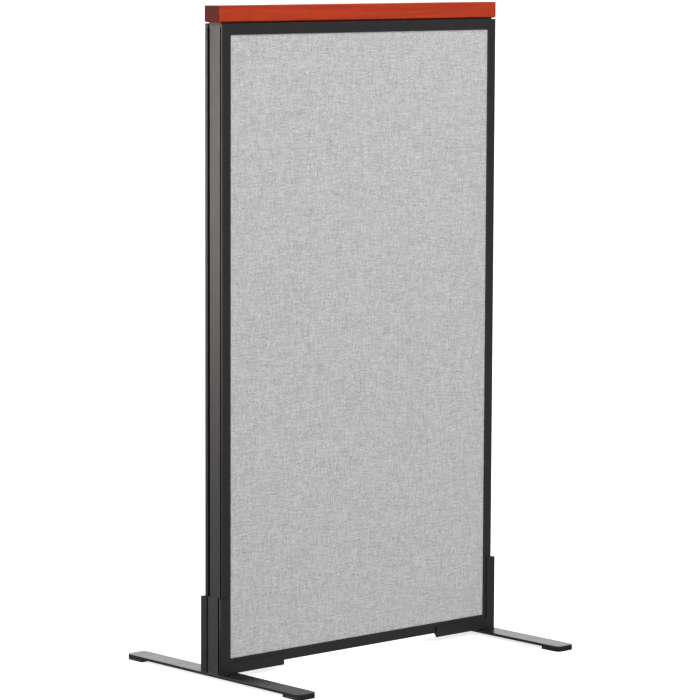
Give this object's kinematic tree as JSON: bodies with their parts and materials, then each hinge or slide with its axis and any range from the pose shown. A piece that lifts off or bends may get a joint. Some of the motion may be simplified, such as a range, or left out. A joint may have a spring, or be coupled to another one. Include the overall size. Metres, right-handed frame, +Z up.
{
  "type": "freestanding partition panel",
  "caption": "Freestanding rectangular partition panel: black metal frame, grey woven fabric on both faces, wood top cap, and T feet with corner shoes and flat foot bars.",
  "frame": {"origin": "on the floor, under the middle of the panel", "axes": "+X along the panel's width, +Y towards the back face, +Z up; the front face looks towards -Y"},
  "size_m": [0.6304, 0.442, 1.105],
  "materials": {
    "frame": "black satin powder coat on extruded aluminium",
    "key": "zinc plated",
    "fixing": "black oxide",
    "core": "paper honeycomb board",
    "tack_board": "fibreboard",
    "fabric": "light grey heathered woven cloth",
    "cap": "cherry stain under satin lacquer",
    "clip": "moulded black nylon",
    "shoe": "black satin powder coat on cast aluminium",
    "foot_bar": "black satin powder coat on flat steel bar",
    "pad": "moulded black rubber"
  },
  "bodies": {
    "root": {"left_stile": "frame", "right_stile": "frame", "top_rail": "frame", "bottom_rail": "frame", "corner_key_top_left": "key", "corner_key_top_right": "key", "corner_key_bottom_left": "key", "corner_key_bottom_right": "key", "corner_key_screws": "fixing", "core_board": "core", "front_tack_board": "tack_board", "back_tack_board": "tack_board", "front_fabric": "fabric", "back_fabric": "fabric", "wood_cap": "cap", "cap_clip_left": "clip", "cap_clip_middle": "clip", "cap_clip_right": "clip", "cap_screws": "fixing", "left_foot_bar": "foot_bar", "right_foot_bar": "foot_bar", "left_corner_shoe": "shoe", "right_corner_shoe": "shoe", "left_front_pad": "pad", "left_back_pad": "pad", "right_front_pad": "pad", "right_back_pad": "pad", "foot_bolts": "fixing", "pad_screws": "fixing"}
  },
  "joints": []
}
